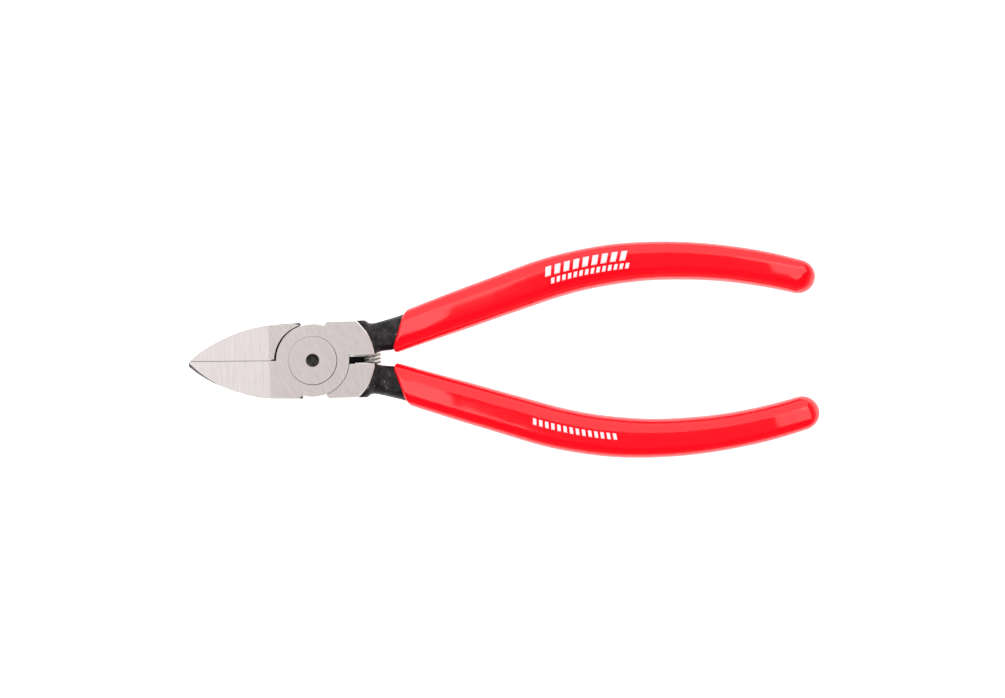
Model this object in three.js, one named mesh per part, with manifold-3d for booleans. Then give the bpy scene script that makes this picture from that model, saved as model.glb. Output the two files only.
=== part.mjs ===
// Spring-opened sprue nippers: two lap-jointed forged arms on one flush rivet, a coil spring
// in blind pockets behind the joint, and a dipped vinyl grip on each handle.
//
// Millimetres. +X runs from the pivot to the handles, +Y to the handle of the front arm, +Z out of
// the flush side of the head. The origin is on the pivot axis, on the back face of the head.
// The tool is modelled closed. Shapes are drawn about the parting plane, halfway through the head,
// and one group lifts them onto the back face.
import * as THREE from 'three';
import { mergeVertices } from 'three/addons/utils/BufferGeometryUtils.js';
import Module from 'manifold-3d';

// Head and lap joint
const HEAD_THICKNESS = 10;
const DISC_RADIUS = 9.3;
const RUNNING_GAP = 0.3;
const SHOULDER_START_X = 3.4;
const SHOULDER_Y = 9.84;
const SHOULDER_ARC_RADIUS = 12.95;
const SHOULDER_ARC_CENTRE_X = 2.9;
const SLOT_CENTRE_Y = -0.145;
const SLOT_WIDTH = 2.09;
const SLOT_WEB = { fromX: 9, toX: 14.4, rootY: -1.5, edgeY: 0.6, backZ: -4.4, frontZ: -2.85 };

// Jaws
const JAW_REAR_X = -2.8;
const JAW_REAR_Y = 9.7;
const JAW_TIP_X = -31.6;
const BLUNT_TIP = [JAW_TIP_X, 0.5];
const POINTED_TIP = [-31.3, 0.88];
const JAW_TIP_BACKSET = 0.05;
const JAW_OUTLINE = [[-28.5, 3.05], [-24, 5.6], [-18, 7.95], [-12, 9.25], [-7, 9.55]];
const CUT_LINE_SLOPE = Math.tan(THREE.MathUtils.degToRad(1.35));
const CUT_GAP = 0.1;
const CUT_ROOT_X = -9.9;
const EDGE_LAND = 0.3;
const BEVEL_ROOT_X = -11;
const BEVEL_HALF_ANGLE = THREE.MathUtils.degToRad(27);
const FACE_SLOPE_START_X = -11;
const FACE_SLOPE_DROP = 0.7;
const BACK_TAPER_START_X = -8;
const TIP_BACK_RISE = 6.6;
const ROOT_NOTCH = { fromX: -10.8, toX: -8.5, height: 0.35, floorZ: 2 };

// Tang: its outer and inner edges between the shoulder and the grip
const TANG_THICKNESS = 6.6;
const TANG_OUTER = [[12, 9.84], [13.6, 9.84], [14.5, 9.2], [15.8, 9.06], [19.2, 9.89], [21.6, 10.5]];
const TANG_INNER = [[24.6, 3.1], [20.5, 2.03], [17.7, 1.82], [16.6, 1.6], [15.8, 0.9], [12, 0.9]];

// Handles: the spine of each grip runs straight, then round two arcs
const SPINE_START = { x: 22, y: 6.45, heading: THREE.MathUtils.degToRad(18) };
const SPINE_STRAIGHT = 36;
const SPINE_ARC_1 = { radius: 102, turn: THREE.MathUtils.degToRad(18) };
const SPINE_ARC_2_RADIUS = 131;
const GRIP_LENGTH = 109.4;
const GRIP_HALF_WIDTHS = [[-12, 4.55], [0, 4.79], [38, 5.43], [70, 5.0], [110, 4.35]];
const GRIP_HALF_DEPTH = 4.95;
const GRIP_MOUTH = { x: 22.34, y: 6.4, lean: THREE.MathUtils.degToRad(20.2) };
const GRIP_ROUNDNESS = 2.5;
const VINYL_THICKNESS = 1.3;
const CORE_START = -5;
const CORE_END = 98;

// Rivet
const RIVET_HEAD_RADIUS = 6.15;
const RIVET_SHANK_RADIUS = 4;
const RIVET_HEAD_RIM = 0.6;
const RIVET_HEAD_HEIGHT = 2.6;
const RIVET_GAP = 0.08;
const DIMPLE_RADIUS = 1.67;
const DIMPLE_DEPTH = 0.9;

// Opening spring
const SPRING_X = 15.3;
const SPRING_RADIUS = 2.0;
const SPRING_WIRE_RADIUS = 0.25;
const SPRING_TURNS = 12.5;
const POCKET_RADIUS = 2.55;
const POCKET_END_Y = 5.9;

// How finely round shapes are faceted
const ROUND_SEGMENTS = 80;
const RIVET_SEGMENTS = 48;
const GRIP_SIDES = 20;
const GRIP_STEPS = 36;
const CORE_SIDES = 12;
const CORE_STEPS = 20;
const STEPS_PER_TURN = 12;
const WIRE_SIDES = 6;
const POCKET_SEGMENTS = 32;
const DOME_SHARE = 0.2;
const DOME_FULLNESS = 0.96;
const SLEEVE_START = -12;
const OVERCUT = 6;

const MID = HEAD_THICKNESS / 2;
const FRONT = 1;
const BACK = -1;
const FORWARD = -1;
const BACKWARD = 1;

const wasm = await Module();
wasm.setup();

function toSolid(geometry) {
  const bare = geometry.index ? geometry.toNonIndexed() : geometry.clone();
  bare.deleteAttribute('normal');
  bare.deleteAttribute('uv');
  const merged = mergeVertices(bare, 1e-5);
  return new wasm.Manifold(new wasm.Mesh({
    numProp: 3,
    vertProperties: Float32Array.from(merged.attributes.position.array),
    triVerts: Uint32Array.from(merged.index.array),
  }));
}

function toGeometry(solid) {
  const mesh = solid.getMesh();
  const geometry = new THREE.BufferGeometry();
  geometry.setAttribute('position', new THREE.BufferAttribute(mesh.vertProperties, 3));
  geometry.setIndex(new THREE.BufferAttribute(mesh.triVerts, 1));
  geometry.computeVertexNormals();
  return geometry;
}

function join(solids) {
  return solids.reduce((whole, solid) => whole.add(solid));
}

function cut(solid, tools) {
  return tools.reduce((rest, tool) => rest.subtract(tool), solid);
}

function vectors(points, side = 1) {
  return points.map(([x, y]) => new THREE.Vector2(x, side * y));
}

// A flat outline in plan, extruded between two heights.
function plate(points, lowZ, highZ) {
  const geometry = new THREE.ExtrudeGeometry(new THREE.Shape(points), {
    depth: highZ - lowZ,
    bevelEnabled: false,
  });
  return toSolid(geometry.translate(0, 0, lowZ));
}

// An outline in the XZ plane, extruded across the whole tool along Y.
function sidePrism(points) {
  const width = 40;
  const geometry = new THREE.ExtrudeGeometry(new THREE.Shape(vectors(points)), {
    depth: width,
    bevelEnabled: false,
  });
  const toSide = new THREE.Matrix4().makeBasis(
    new THREE.Vector3(1, 0, 0),
    new THREE.Vector3(0, 0, 1),
    new THREE.Vector3(0, -1, 0),
  );
  return toSolid(geometry.applyMatrix4(toSide).translate(0, width / 2, 0));
}

// An upright cylinder on the pivot axis.
function pivotDisc(radius, lowZ, highZ) {
  const geometry = new THREE.CylinderGeometry(radius, radius, highZ - lowZ, ROUND_SEGMENTS);
  return toSolid(geometry.rotateX(Math.PI / 2).translate(0, 0, (lowZ + highZ) / 2));
}

// Point and heading of the handle spine, a distance s along it from the grip's mouth.
function spineAt(s) {
  const { x, y, heading } = SPINE_START;
  const straight = Math.min(s, SPINE_STRAIGHT);
  const place = {
    x: x + straight * Math.cos(heading),
    y: y + straight * Math.sin(heading),
    heading,
  };
  const arcLength = SPINE_ARC_1.radius * SPINE_ARC_1.turn;
  const onArc1 = Math.max(0, Math.min(s - SPINE_STRAIGHT, arcLength));
  followArc(place, SPINE_ARC_1.radius, onArc1);
  followArc(place, SPINE_ARC_2_RADIUS, Math.max(0, s - SPINE_STRAIGHT - arcLength));
  return place;
}

function followArc(place, radius, length) {
  const turned = place.heading - length / radius;
  place.x += radius * (Math.sin(place.heading) - Math.sin(turned));
  place.y += radius * (Math.cos(turned) - Math.cos(place.heading));
  place.heading = turned;
}

function gripHalfWidth(s) {
  const next = Math.max(1, GRIP_HALF_WIDTHS.findIndex(([station]) => station >= s));
  const [s0, w0] = GRIP_HALF_WIDTHS[next - 1];
  const [s1, w1] = GRIP_HALF_WIDTHS[next];
  const share = (s - s0) / (s1 - s0);
  return THREE.MathUtils.lerp(w0, w1, THREE.MathUtils.smoothstep(share, -0.4, 1.4));
}

// A bar that follows the handle spine, with a rounded section and a domed far end.
function handleBar({ from, to, inset, halfDepth, sides, steps, side }) {
  const geometry = new THREE.CylinderGeometry(1, 1, 1, sides, steps);
  const domeLength = gripHalfWidth(to) - inset;
  const domeStart = to - domeLength;
  const position = geometry.attributes.position;
  const power = 2 / GRIP_ROUNDNESS;
  for (let i = 0; i < position.count; i++) {
    const along = position.getY(i) + 0.5;
    const domeAngle = Math.max(0, along - 1 + DOME_SHARE) / DOME_SHARE * DOME_FULLNESS * Math.PI / 2;
    const s = domeAngle > 0
      ? domeStart + domeLength * Math.sin(domeAngle)
      : from + (domeStart - from) * along / (1 - DOME_SHARE);
    const swell = Math.cos(domeAngle);
    const across = -position.getX(i);
    const up = position.getZ(i);
    const offset = Math.sign(across) * Math.abs(across) ** power * swell * (gripHalfWidth(s) - inset);
    const height = Math.sign(up) * Math.abs(up) ** power * swell * halfDepth;
    const place = spineAt(s);
    const x = place.x - offset * Math.sin(place.heading);
    const y = place.y + offset * Math.cos(place.heading);
    position.setXYZ(i, x, side * y, side * height);
  }
  return toSolid(geometry);
}

// Everything on one side of a grip's slanted mouth: FORWARD is towards the head, BACKWARD towards
// the end of the handle. The gap moves the border towards the head.
function pastMouth(side, direction, gap) {
  const reach = 60;
  const box = new THREE.BoxGeometry(reach, reach, reach).translate(direction * reach / 2 - gap, 0, 0);
  box.rotateZ(-side * GRIP_MOUTH.lean).translate(GRIP_MOUTH.x, side * GRIP_MOUTH.y, 0);
  return toSolid(box);
}

function cutLineY(x) {
  return -x * CUT_LINE_SLOPE;
}

// One jaw in plan: the cutting edge, the curved outer edge and the flat end that faces the shoulder.
// The front arm's jaw has a blunt tip, and the back arm's jaw runs to a point beside it.
function jaw(side) {
  const face = (x) => new THREE.Vector2(x, cutLineY(x) - side * CUT_GAP / 2);
  const tip = side === FRONT ? BLUNT_TIP : POINTED_TIP;
  const outer = new THREE.SplineCurve(vectors([tip, ...JAW_OUTLINE], -side)).getPoints(24);
  const rear = vectors([[JAW_REAR_X, JAW_REAR_Y], [JAW_REAR_X, 1]], -side);
  return plate([face(0), face(tip[0] + JAW_TIP_BACKSET), ...outer, ...rear], -MID, MID);
}

// The shoulder behind the disc, whose outer border is an arc.
function shoulder(side) {
  const slotEdge = SLOT_CENTRE_Y * side + SLOT_WIDTH / 2;
  const angleAt = (y) => Math.asin(y / SHOULDER_ARC_RADIUS);
  const arc = new THREE.Path().absarc(
    SHOULDER_ARC_CENTRE_X, 0, SHOULDER_ARC_RADIUS, angleAt(SHOULDER_Y), angleAt(slotEdge), true,
  );
  const border = arc.getPoints(20).map((p) => [p.x, p.y]);
  const points = [[SHOULDER_START_X, slotEdge], [SHOULDER_START_X, SHOULDER_Y], ...border];
  return plate(vectors(points, side), -MID, MID);
}

// The thinner tang between the shoulder and the grip, and the core that the grip is dipped onto.
function tang(side) {
  const web = plate(vectors([...TANG_OUTER, ...TANG_INNER], side), -TANG_THICKNESS / 2, TANG_THICKNESS / 2);
  const neck = cut(web, [pastMouth(side, BACKWARD, RUNNING_GAP)]);
  const core = handleBar({
    from: CORE_START,
    to: CORE_END,
    inset: VINYL_THICKNESS,
    halfDepth: TANG_THICKNESS / 2,
    sides: CORE_SIDES,
    steps: CORE_STEPS,
    side,
  });
  return join([neck, core]);
}

// The hollow behind the cutting edges: a V that opens towards the back and follows the flush face.
function cuttingBevels() {
  const nearZ = MID - EDGE_LAND;
  const depth = 2 * HEAD_THICKNESS;
  const halfOpening = depth * Math.tan(BEVEL_HALF_ANGLE);
  const length = BEVEL_ROOT_X - JAW_TIP_X + OVERCUT;
  const triangle = [[-halfOpening, -depth], [halfOpening, -depth], [0, 0]];
  const geometry = new THREE.ExtrudeGeometry(new THREE.Shape(vectors(triangle)), {
    depth: length,
    bevelEnabled: false,
  });
  const alongX = new THREE.Matrix4().makeBasis(
    new THREE.Vector3(0, 1, 0),
    new THREE.Vector3(0, 0, 1),
    new THREE.Vector3(1, 0, 0),
  );
  geometry.applyMatrix4(alongX).translate(BEVEL_ROOT_X - length, 0, 0);
  const fall = FACE_SLOPE_DROP / (FACE_SLOPE_START_X - JAW_TIP_X);
  geometry.rotateY(-Math.atan(fall));
  geometry.rotateZ(-Math.atan(CUT_LINE_SLOPE));
  geometry.translate(0, 0, nearZ - fall * FACE_SLOPE_START_X);
  return toSolid(geometry);
}

// The flush face falls away slightly from the joint to the tip.
function faceRelief() {
  const tipZ = MID - FACE_SLOPE_DROP;
  const slope = FACE_SLOPE_DROP / (FACE_SLOPE_START_X - JAW_TIP_X);
  return sidePrism([
    [FACE_SLOPE_START_X, MID],
    [JAW_TIP_X - OVERCUT, tipZ - slope * OVERCUT],
    [JAW_TIP_X - OVERCUT, MID + OVERCUT],
    [FACE_SLOPE_START_X, MID + OVERCUT],
  ]);
}

// The backs of the jaws rise to a thin tip.
function backTaper() {
  const slope = TIP_BACK_RISE / (BACK_TAPER_START_X - JAW_TIP_X);
  return sidePrism([
    [BACK_TAPER_START_X, -MID],
    [JAW_TIP_X - OVERCUT, -MID + TIP_BACK_RISE + slope * OVERCUT],
    [JAW_TIP_X - OVERCUT, -MID - OVERCUT],
    [BACK_TAPER_START_X, -MID - OVERCUT],
  ]);
}

// The half profile of the rivet: a shank between two countersunk heads flush with the faces.
function rivetProfile(gap, endZ) {
  const rimZ = MID - RIVET_HEAD_RIM;
  const neckZ = MID - RIVET_HEAD_HEIGHT;
  const head = RIVET_HEAD_RADIUS + gap;
  const shank = RIVET_SHANK_RADIUS + gap;
  return [[0, -endZ], [head, -endZ], [head, -rimZ], [shank, -neckZ], [shank, neckZ], [head, rimZ], [head, endZ]];
}

function lathe(profile) {
  const geometry = new THREE.LatheGeometry(vectors(profile), RIVET_SEGMENTS);
  return toSolid(geometry.rotateX(Math.PI / 2));
}

function rivet() {
  const dimple = [[DIMPLE_RADIUS, MID], [DIMPLE_RADIUS, MID - DIMPLE_DEPTH], [0, MID - DIMPLE_DEPTH]];
  return lathe([...rivetProfile(0, MID), ...dimple]);
}

function rivetBore() {
  return lathe([...rivetProfile(RIVET_GAP, MID + OVERCUT), [0, MID + OVERCUT]]);
}

function springPocket() {
  const geometry = new THREE.CylinderGeometry(POCKET_RADIUS, POCKET_RADIUS, 2 * POCKET_END_Y, POCKET_SEGMENTS);
  return toSolid(geometry.translate(SPRING_X, 0, 0));
}

// The forged web that closes the bottom of the slot, behind the joint.
function slotWeb() {
  const { fromX, toX, rootY, edgeY, backZ, frontZ } = SLOT_WEB;
  return plate(vectors([[fromX, rootY], [toX, rootY], [toX, edgeY], [fromX, edgeY]]), backZ, frontZ);
}

// The blind relief where the upper cutting edge runs out at the joint.
function rootNotch() {
  const { fromX, toX, height, floorZ } = ROOT_NOTCH;
  const lowY = cutLineY(CUT_ROOT_X);
  const points = [[fromX, lowY], [toX, lowY], [toX, lowY + height], [fromX, lowY + height]];
  return plate(vectors(points), floorZ, MID + OVERCUT);
}

// One arm: a jaw, its half of the lap joint, and the shoulder, tang and core on the other side.
// The front arm keeps the front half of the disc, the back arm the back half.
function arm(layer) {
  const side = layer;
  const masses = [jaw(side), pivotDisc(DISC_RADIUS, -MID, MID), shoulder(side), tang(side)];
  const blank = join(layer === BACK ? [...masses, slotWeb()] : masses);
  const halfGap = RUNNING_GAP / 2;
  const farZ = MID + OVERCUT;
  const neighbour = layer === FRONT
    ? pivotDisc(DISC_RADIUS + RUNNING_GAP, -farZ, halfGap)
    : pivotDisc(DISC_RADIUS + RUNNING_GAP, -halfGap, farZ);
  const tools = [neighbour, cuttingBevels(), faceRelief(), backTaper(), rivetBore(), springPocket()];
  return cut(blank, layer === BACK ? [...tools, rootNotch()] : tools);
}

class Coil extends THREE.Curve {
  getPoint(t, target = new THREE.Vector3()) {
    const angle = t * SPRING_TURNS * 2 * Math.PI;
    const halfLength = POCKET_END_Y - RUNNING_GAP - SPRING_WIRE_RADIUS;
    return target.set(
      SPRING_X + SPRING_RADIUS * Math.cos(angle),
      halfLength * (2 * t - 1),
      SPRING_RADIUS * Math.sin(angle),
    );
  }
}

function spring() {
  const section = new THREE.Shape().absarc(0, 0, SPRING_WIRE_RADIUS, 0, 2 * Math.PI);
  return toSolid(new THREE.ExtrudeGeometry(section, {
    steps: SPRING_TURNS * STEPS_PER_TURN,
    extrudePath: new Coil(),
    curveSegments: WIRE_SIDES,
  }));
}

// A dipped vinyl grip: a rounded bar with a pocket for the core, cut off square to the dip.
function grip(side) {
  const sleeve = handleBar({
    from: SLEEVE_START,
    to: GRIP_LENGTH,
    inset: 0,
    halfDepth: GRIP_HALF_DEPTH,
    sides: GRIP_SIDES,
    steps: GRIP_STEPS,
    side,
  });
  const pocket = handleBar({
    from: SLEEVE_START - OVERCUT,
    to: CORE_END + RUNNING_GAP,
    inset: VINYL_THICKNESS - RUNNING_GAP,
    halfDepth: TANG_THICKNESS / 2 + RUNNING_GAP,
    sides: CORE_SIDES,
    steps: CORE_STEPS,
    side,
  });
  return cut(sleeve, [pocket, pastMouth(side, FORWARD, 0)]);
}

const GROUND_STEEL = { color: 0xccc5c2, metalness: 0.9, roughness: 0.35 };
const SPRING_STEEL = { color: 0xb9b2a8, metalness: 0.9, roughness: 0.25 };
const RED_VINYL = { color: 0xe3101f, metalness: 0, roughness: 0.2 };

const lift = new THREE.Group();
lift.position.z = MID;

function addPiece(name, solid, finish) {
  const mesh = new THREE.Mesh(toGeometry(solid), new THREE.MeshStandardMaterial(finish));
  mesh.name = name;
  lift.add(mesh);
}

addPiece('front_arm', arm(FRONT), GROUND_STEEL);
addPiece('back_arm', arm(BACK), GROUND_STEEL);
addPiece('pivot_rivet', rivet(), GROUND_STEEL);
addPiece('opening_spring', spring(), SPRING_STEEL);
addPiece('upper_grip', grip(FRONT), RED_VINYL);
addPiece('lower_grip', grip(BACK), RED_VINYL);

const nippers = new THREE.Group();
nippers.name = 'sprue_nippers';
nippers.add(lift);

export default nippers;
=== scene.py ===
"""Sprue nippers: two lap-jointed arms of ground and blackened forged steel on a flush rivet, an
opening spring behind the joint and dipped vinyl grips. Metres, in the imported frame's own axes:
+X from the pivot to the handles, +Y to the upper handle, +Z out of the flush face of the head."""

import math

import bmesh
import bpy
from mathutils import Matrix, Vector


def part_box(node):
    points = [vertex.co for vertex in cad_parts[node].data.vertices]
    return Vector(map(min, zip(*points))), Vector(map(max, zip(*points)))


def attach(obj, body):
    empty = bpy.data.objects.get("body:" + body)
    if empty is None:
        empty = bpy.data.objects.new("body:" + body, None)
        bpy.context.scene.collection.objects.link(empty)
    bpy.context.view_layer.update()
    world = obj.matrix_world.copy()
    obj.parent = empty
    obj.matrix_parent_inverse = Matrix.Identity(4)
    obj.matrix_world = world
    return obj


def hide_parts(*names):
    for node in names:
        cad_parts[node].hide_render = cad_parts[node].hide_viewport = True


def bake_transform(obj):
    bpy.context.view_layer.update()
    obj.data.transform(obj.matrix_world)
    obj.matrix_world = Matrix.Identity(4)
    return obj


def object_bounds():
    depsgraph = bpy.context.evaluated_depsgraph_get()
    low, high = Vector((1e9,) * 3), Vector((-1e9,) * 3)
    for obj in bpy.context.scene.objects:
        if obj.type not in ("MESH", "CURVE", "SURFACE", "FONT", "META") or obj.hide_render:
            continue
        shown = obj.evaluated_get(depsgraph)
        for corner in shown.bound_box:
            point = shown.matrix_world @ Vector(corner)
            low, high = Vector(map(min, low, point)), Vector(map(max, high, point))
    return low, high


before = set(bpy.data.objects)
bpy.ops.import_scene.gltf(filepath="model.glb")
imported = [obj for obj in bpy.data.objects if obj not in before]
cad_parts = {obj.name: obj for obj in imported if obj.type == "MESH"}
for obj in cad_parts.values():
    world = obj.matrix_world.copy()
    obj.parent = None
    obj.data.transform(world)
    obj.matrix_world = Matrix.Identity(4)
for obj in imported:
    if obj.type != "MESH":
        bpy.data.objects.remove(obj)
FRAME_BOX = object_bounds()

bl_info = {
    "name": "Sprue nippers",
    "version": (1, 0, 0),
    "blender": (4, 5, 0),
    "location": "View3D > Sidebar > Nippers",
    "description": "Builds a pair of spring-opened sprue nippers around its packed frame",
    "category": "Add Mesh",
}

MM = 0.001
FRONT = 1
BACK = -1
ARM_NODES = {FRONT: "front_arm", BACK: "back_arm"}
GRIP_NODES = {FRONT: "upper_grip", BACK: "lower_grip"}
BODIES = {FRONT: "upper_handle", BACK: "lower_handle"}

HEAD_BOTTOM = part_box("back_arm")[0].z
HEAD_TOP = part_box("front_arm")[1].z
MID_Z = (HEAD_BOTTOM + HEAD_TOP) / 2
HALF_HEAD = (HEAD_TOP - HEAD_BOTTOM) / 2
JAW_TIP_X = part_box("front_arm")[0].x
FACE_SLOPE_X = -11.0 * MM
FACE_FALL = 0.7 * MM
RIVET_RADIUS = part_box("pivot_rivet")[1].x
SPRING_LOW, SPRING_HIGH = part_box("opening_spring")


def mm(points):
    """The same points, given in millimetres, in metres."""
    return [tuple(value * MM for value in point) for point in points]


# Plan of the head. Jaw and shoulder are drawn for a jaw or a handle at +Y and mirrored by side.
JAW_OUTER = mm([(-28.5, 3.05), (-24, 5.6), (-18, 7.95), (-12, 9.25), (-7, 9.55), (-3.1, 9.72)])
JAW_REAR = mm([(-2.75, 9.45), (-2.9, 9.0), (-2.9, 1.0)])
BLUNT_TIP = (JAW_TIP_X, 0.55 * MM)
POINTED_TIP = (-31.3 * MM, 0.84 * MM)
CUT_SLOPE = math.tan(math.radians(1.35))
SHOULDER_CORNER = mm([(3.3, 1.0), (3.3, 9.15), (3.6, 9.66), (3.9, 9.84)])
SHOULDER_Y = 9.84 * MM
SHOULDER_ARC_X = 2.9 * MM
SHOULDER_ARC_RADIUS = 12.95 * MM
SLOT_EDGES = {FRONT: 0.9 * MM, BACK: 1.19 * MM}

# How far the forged side leans in towards the face, and how high that starts, along each jaw
LEAN_START = 2.9 * MM
DISC_CENTRES = {FRONT: (0, 0), BACK: (0.05 * MM, 0.08 * MM)}
SIDE_LEAN = {
    FRONT: mm([(-31.6, 1.1), (-29, 0.8), (-26, 0.42), (-23, 0.05),
               (-16.5, 0.05), (-14, 0.2), (-11, 0.05), (0, 0.05)]),
    BACK: mm([(-31.6, 0.05), (-10, 0.05), (-8.5, 0.2), (-4.5, 0.25), (-3.1, 0.9)]),
}

# Tang stations, head to grip: outer edge, inner edge, and how square the section is
TANG_STATIONS = [
    ((10.8, 9.84), (10.8, 0.78), 14),
    ((12.3, 9.84), (12.8, 0.78), 14),
    ((13.45, 9.84), (14.4, 0.78), 10),
    ((13.9, 9.66), (15.3, 0.82), 8),
    ((14.35, 9.26), (15.8, 0.98), 7),
    ((14.95, 9.05), (16.3, 1.36), 6),
    ((15.8, 9.04), (17.1, 1.7), 5),
    ((17.2, 9.33), (18.6, 1.88), 4),
    ((19.2, 9.85), (20.4, 2.05), 3.6),
    ((21.0, 10.35), (22.4, 2.5), 3.4),
]
SKIN_HALF_DEPTH = HALF_HEAD - 0.16 * MM
TANG_HALF_DEPTH = 3.5 * MM
TANG_FALL = 2.6 * MM

# The handle's spine: straight, then round two arcs
SPINE_START = Vector((22.0 * MM, 6.45 * MM))
SPINE_HEADING = math.radians(18)
SPINE_STRAIGHT = 36 * MM
SPINE_ARCS = [(102 * MM, 102 * MM * math.radians(18)), (131 * MM, 1.0)]
SPINE_LENGTH = 109.4 * MM
GRIP_HALF_WIDTHS = mm([(-12, 4.6), (0, 4.82), (20, 5.2), (38, 5.42), (55, 5.28), (70, 5.0), (90, 4.68),
                       (110, 4.35)])
GRIP_HALF_DEPTHS = mm([(-12, 4.0), (0, 4.1), (14, 4.7), (36, 4.93), (50, 4.95), (88, 4.93), (97, 4.8),
                       (103, 4.45), (109.4, 3.7)])
GRIP_RING_POINTS = 120
TANG_RING_POINTS = 56
TANG_SQUARENESS = 3.4
CORE_INSET = 0.9 * MM
CORE_START = 1.6 * MM
CORE_END = 98 * MM

# Printed bars: start and end along the spine, low and high across it, in millimetres, and slant
PRINTED_BARS = {
    FRONT: ([(39.9 + 2.4 * i, 41.4 + 2.4 * i, 0.6, 3.0, 0.35) for i in range(9)]
            + [(40.8 + 1.5 * i, 41.7 + 1.5 * i, -1.5, -0.1, 0.35) for i in range(14)]),
    BACK: [(35 + 1.6 * i, 35.9 + 1.6 * i, -0.9, 0.7, 0.3) for i in range(14)],
}


def length_prop(name, description, default):
    return bpy.props.FloatProperty(
        name=name, description=description, default=default, unit="LENGTH", precision=5)


def colour_prop(name, description, hex_code):
    return bpy.props.FloatVectorProperty(
        name=name, description=description, default=linear(hex_code), subtype="COLOR", size=4,
        min=0, max=1)


def linear(hex_code):
    """Linear RGBA of an sRGB hex colour."""
    channels = [int(hex_code[i:i + 2], 16) / 255 for i in (1, 3, 5)]
    return [c / 12.92 if c <= 0.04045 else ((c + 0.055) / 1.055) ** 2.4 for c in channels] + [1.0]


class NippersHeadSizes(bpy.types.PropertyGroup):
    """Sizes of the ground head and its joint."""
    disc_radius: length_prop("Disc radius", "Radius of the lap joint's round half", 9.3 * MM)
    edge_break: length_prop("Edge break", "Chamfer that grinding leaves on the edges", 0.11 * MM)
    lap_gap: length_prop("Lap gap", "Gap between the two halves of the joint", 0.06 * MM)
    shoulder_gap: length_prop("Shoulder gap", "Gap between a disc and the other shoulder", 0.13 * MM)
    jaw_gap: length_prop("Jaw gap", "Mean gap between a disc and the other jaw", 0.22 * MM)
    edge_land: length_prop("Edge land", "Thickness left at the cutting edges", 0.2 * MM)
    dimple_radius: length_prop("Dimple radius", "Radius of the punched centre of the rivet", 1.6 * MM)


class NippersGripSizes(bpy.types.PropertyGroup):
    """Sizes of the dipped grips."""
    mouth_lean: bpy.props.FloatProperty(
        name="Mouth lean", description="Slant of the dip line against the grip",
        default=math.radians(36.5), unit="ROTATION")
    lip: length_prop("Lip", "How far the vinyl stands proud of the tang", 0.8 * MM)
    outer_roundness: bpy.props.FloatProperty(
        name="Outer roundness", description="Section exponent of the palm side, 2 is round",
        default=3.5)
    inner_roundness: bpy.props.FloatProperty(
        name="Inner roundness", description="Section exponent of the finger side, 2 is round",
        default=2.5)


class NippersSpringSizes(bpy.types.PropertyGroup):
    """Sizes of the opening spring."""
    wire_diameter: length_prop("Wire", "Diameter of the spring wire", 0.5 * MM)
    turns: bpy.props.FloatProperty(name="Turns", description="Turns of wire", default=12.5)
    end_turns: bpy.props.FloatProperty(
        name="End turns", description="Closed turns at each end", default=1.0)
    phase: bpy.props.FloatProperty(
        name="Phase", description="Where round the coil the wire starts, in turns", default=0.11)


class NippersFinishes(bpy.types.PropertyGroup):
    """Colours of the finishes."""
    joint_steel: colour_prop("Joint steel", "Ground face of the joint", "#D1C7C6")
    jaw_steel: colour_prop("Jaw steel", "Ground faces of the jaws", "#DBD3D2")
    # Near white, brighter than the ground steel: a painted highlight on top of the stoned edges' polish
    burnished_steel_painted_highlight: colour_prop("Burnished steel", "Stoned edges of the head", "#FAF5F2")
    black_steel: colour_prop("Black steel", "Blackened forged skin", "#191617")
    punched_steel: colour_prop("Punched steel", "Punched centre of the rivet", "#2A2725")
    spring_steel: colour_prop("Spring wire", "Bright drawn wire", "#EFE8DC")
    red_vinyl: colour_prop("Red vinyl", "Dipped grips", "#EE0A1B")
    print_ink: colour_prop("Print ink", "Printed bars on the grips", "#EBD9DE")


class NippersStage(bpy.types.PropertyGroup):
    """Camera, lights and floor."""
    view_width: length_prop("View width", "Width of the picture at the tool", 255.6 * MM)
    camera_height: length_prop("Camera height", "Height of the camera above the tool", 3.0)
    roll: bpy.props.FloatProperty(
        name="Roll", description="Turn of the tool in the picture", default=math.radians(1.85),
        unit="ROTATION")
    panel_radiance: bpy.props.FloatProperty(
        name="Panel radiance", description="Brightness of the soft panels", default=2.3)
    fill_radiance: bpy.props.FloatProperty(
        name="Fill radiance", description="Brightness of the overhead fill", default=2.6)
    floor_glow: bpy.props.FloatProperty(
        name="Floor glow", description="Light that the pale floor gives off", default=0.85)


# Mesh building

def smooth_line(points, steps):
    """A Catmull-Rom line through points of any dimension, with steps segments between each two."""
    points = [Vector(p) for p in points]
    padded = [2 * points[0] - points[1], *points, 2 * points[-1] - points[-2]]
    line = []
    for before, a, b, after in zip(padded, padded[1:], padded[2:], padded[3:]):
        for step in range(steps):
            t = step / steps
            line.append(0.5 * (2 * a + (b - before) * t
                               + (2 * before - 5 * a + 4 * b - after) * t * t
                               + (3 * a - before - 3 * b + after) * t ** 3))
    return line + [points[-1]]


def at_station(stations, place):
    """Value at a place along a list of (place, value) stations, smoothed between them."""
    if place <= stations[0][0]:
        return stations[0][1]
    for (start, low), (end, high) in zip(stations, stations[1:]):
        if place <= end:
            share = (place - start) / (end - start)
            return low + (high - low) * (0.5 * share + 0.5 * share * share * (3 - 2 * share))
    return stations[-1][1]


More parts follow.
